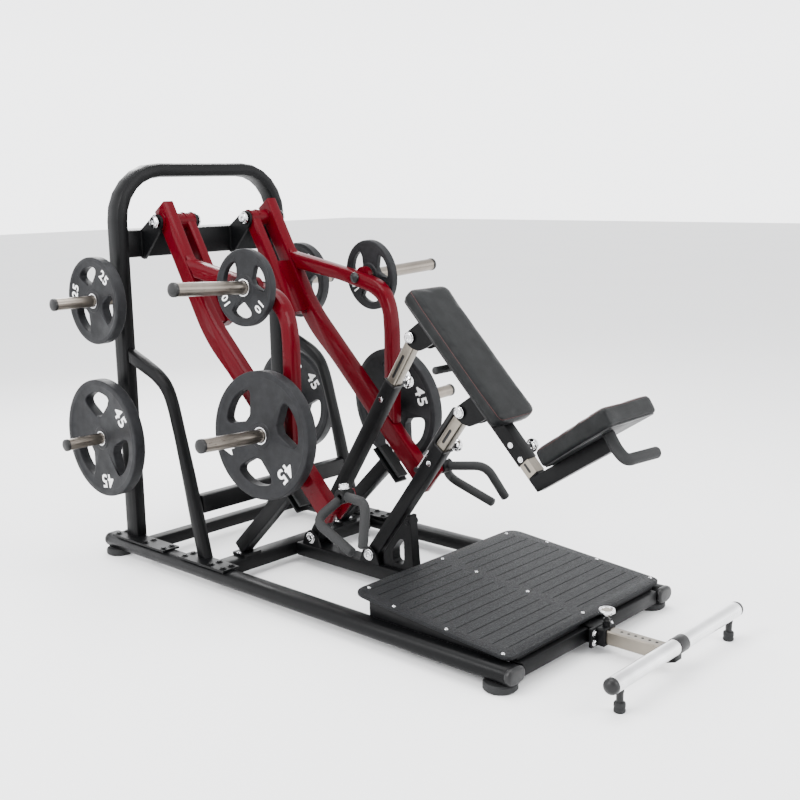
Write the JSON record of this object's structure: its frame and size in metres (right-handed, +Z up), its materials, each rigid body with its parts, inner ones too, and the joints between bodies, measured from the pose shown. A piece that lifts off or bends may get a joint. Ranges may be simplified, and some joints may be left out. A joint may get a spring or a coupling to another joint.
{
  "type": "chest-supported row machine",
  "caption": "Plate-loaded row machine with two swinging arms, a sloping chest pad, a saddle seat, a standing deck and a sliding foot bar.",
  "frame": {"origin": "on the floor, at the middle of the bounding box", "axes": "+X toward the foot bar (front), -X to the rear hoop, +Y to the machine's right side, +Z up"},
  "size_m": [2.417, 1.386, 1.5186],
  "materials": {
    "frame": "fine texture black powder coat",
    "arm": "gloss candy red",
    "nickel": "satin nickel",
    "bar": "polished",
    "plate": "satin charcoal rubber",
    "pad": "black grained vinyl",
    "grip": "dull black rubber",
    "knob": "polished",
    "deck": "coarse grit coat"
  },
  "bodies": {
    "base_frame": {"rail_left": "frame", "rail_right": "frame", "foot_rear_left": "grip", "foot_rear_right": "grip", "foot_front_left": "grip", "foot_front_right": "grip", "rear_cross_tube": "frame", "main_cross_member": "frame", "front_cross_member_left": "frame", "front_cross_member_right": "frame", "centre_spine": "frame", "rear_hoop": "frame", "brace_left": "frame", "brace_right": "frame", "brace_cross_tube": "frame", "pivot_crossbar": "frame", "storage_horn_45_left": "nickel", "storage_horn_45_right": "nickel", "storage_horn_25_left": "nickel", "storage_horn_25_right": "nickel", "stop_post_left": "frame", "stop_post_right": "frame", "stop_rubber_left": "grip", "stop_rubber_right": "grip", "foot_deck": "deck", "front_receiver": "frame", "rear_strut_outer_tube": "frame", "front_strut_outer_tube": "frame"},
    "arm_left": {"arm_beam_left": "arm", "arm_branch_left": "arm", "arm_horn_45_left": "nickel", "arm_horn_10_left": "nickel"},
    "handle_left": {"handle_left": "grip"},
    "plate_45_storage_left": {"plate_45_storage_left": "plate"},
    "plate_25_storage_left": {"plate_25_storage_left": "plate"},
    "plate_45_arm_left": {"plate_45_arm_left": "plate"},
    "plate_10_arm_left": {"plate_10_arm_left": "plate"},
    "arm_right": {"arm_beam_right": "arm", "arm_branch_right": "arm", "arm_horn_45_right": "nickel", "arm_horn_10_right": "nickel"},
    "handle_right": {"handle_right": "grip"},
    "plate_45_storage_right": {"plate_45_storage_right": "plate"},
    "plate_25_storage_right": {"plate_25_storage_right": "plate"},
    "plate_45_arm_right": {"plate_45_arm_right": "plate"},
    "plate_10_arm_right": {"plate_10_arm_right": "plate"},
    "rear_post_slide": {"rear_strut_inner_tube": "nickel"},
    "front_post_slide": {"front_strut_inner_tube": "nickel"},
    "pad_carrier": {"pad_beam": "frame", "chest_pad": "pad", "rear_grip_bar": "grip"},
    "seat_carrier": {"seat_tube": "frame", "seat_cushion": "pad", "seat_grip": "grip"},
    "foot_bar_carrier": {"foot_bar_slide": "nickel", "foot_bar": "bar"},
    "rear_strut_knob": {"rear_strut_knob": "knob"},
    "front_strut_knob": {"front_strut_knob": "knob"},
    "seat_pull_knob": {"seat_pull_knob": "knob"},
    "foot_bar_knob": {"foot_bar_knob": "knob"}
  },
  "joints": [
    {"name": "left_arm_swing", "type": "hinge", "parent": "base_frame", "child": "arm_left", "pos_m": [-0.8465, -0.215, 1.301], "axis": [0, -1, 0], "range_deg": [0, 36]},
    {"name": "left_handle_swivel", "type": "hinge", "parent": "arm_left", "child": "handle_left", "pos_m": [0.0715, -0.255, 0.4], "axis": [0, -1, 0], "range_deg": [0, 30]},
    {"name": "left_stored_45_slide", "type": "slide", "parent": "base_frame", "child": "plate_45_storage_left", "axis": [0, -1, 0], "range_m": [0, 0.14]},
    {"name": "left_stored_25_slide", "type": "slide", "parent": "base_frame", "child": "plate_25_storage_left", "axis": [0, -1, 0], "range_m": [0, 0.152]},
    {"name": "left_loaded_45_slide", "type": "slide", "parent": "arm_left", "child": "plate_45_arm_left", "axis": [0.0783, -0.9951, 0.061], "range_m": [0, 0.25]},
    {"name": "left_loaded_10_slide", "type": "slide", "parent": "arm_left", "child": "plate_10_arm_left", "axis": [0.0783, -0.9951, 0.061], "range_m": [0, 0.29]},
    {"name": "right_arm_swing", "type": "hinge", "parent": "base_frame", "child": "arm_right", "pos_m": [-0.8465, 0.215, 1.301], "axis": [0, -1, 0], "range_deg": [0, 36]},
    {"name": "right_handle_swivel", "type": "hinge", "parent": "arm_right", "child": "handle_right", "pos_m": [0.0715, 0.255, 0.4], "axis": [0, -1, 0], "range_deg": [0, 30]},
    {"name": "right_stored_45_slide", "type": "slide", "parent": "base_frame", "child": "plate_45_storage_right", "axis": [0, 1, 0], "range_m": [0, 0.14]},
    {"name": "right_stored_25_slide", "type": "slide", "parent": "base_frame", "child": "plate_25_storage_right", "axis": [0, 1, 0], "range_m": [0, 0.152]},
    {"name": "right_loaded_45_slide", "type": "slide", "parent": "arm_right", "child": "plate_45_arm_right", "axis": [0.0783, 0.9951, 0.061], "range_m": [0, 0.25]},
    {"name": "right_loaded_10_slide", "type": "slide", "parent": "arm_right", "child": "plate_10_arm_right", "axis": [0.0783, 0.9951, 0.061], "range_m": [0, 0.29]},
    {"name": "pad_height", "type": "slide", "parent": "base_frame", "child": "rear_post_slide", "axis": [0.5417, 0, 0.8406], "range_m": [0, 0.06]},
    {"name": "front_post_height", "type": "slide", "parent": "base_frame", "child": "front_post_slide", "axis": [0.5964, 0, 0.8027], "range_m": [0, 0.09]},
    {"name": "pad_tilt", "type": "hinge", "parent": "rear_post_slide", "child": "pad_carrier", "pos_m": [0.1755, 0, 0.92], "axis": [0, -1, 0], "range_deg": [0, 5]},
    {"name": "seat_reach", "type": "slide", "parent": "pad_carrier", "child": "seat_carrier", "axis": [0.6947, 0, -0.7193], "range_m": [-0.03, 0.06]},
    {"name": "foot_bar_reach", "type": "slide", "parent": "base_frame", "child": "foot_bar_carrier", "axis": [1, 0, 0], "range_m": [-0.02, 0.08]},
    {"name": "rear_strut_knob_pull", "type": "slide", "parent": "base_frame", "child": "rear_strut_knob", "axis": [0, 1, 0], "range_m": [0, 0.01], "stiffness_N_per_m": 800, "springref_m": -0.004},
    {"name": "front_strut_knob_pull", "type": "slide", "parent": "base_frame", "child": "front_strut_knob", "axis": [0, 1, 0], "range_m": [0, 0.01], "stiffness_N_per_m": 800, "springref_m": -0.004},
    {"name": "seat_pull_knob_pull", "type": "slide", "parent": "pad_carrier", "child": "seat_pull_knob", "axis": [0, 1, 0], "range_m": [0, 0.01], "stiffness_N_per_m": 800, "springref_m": -0.004},
    {"name": "foot_bar_knob_pull", "type": "slide", "parent": "base_frame", "child": "foot_bar_knob", "axis": [0, 0, 1], "range_m": [0, 0.01], "stiffness_N_per_m": 800, "springref_m": -0.004}
  ],
  "couplings": [
    {"joint": "front_post_height", "follows": "pad_height", "ratio": 1.4},
    {"joint": "pad_tilt", "follows": "pad_height", "rad_per_m": 1.294}
  ]
}
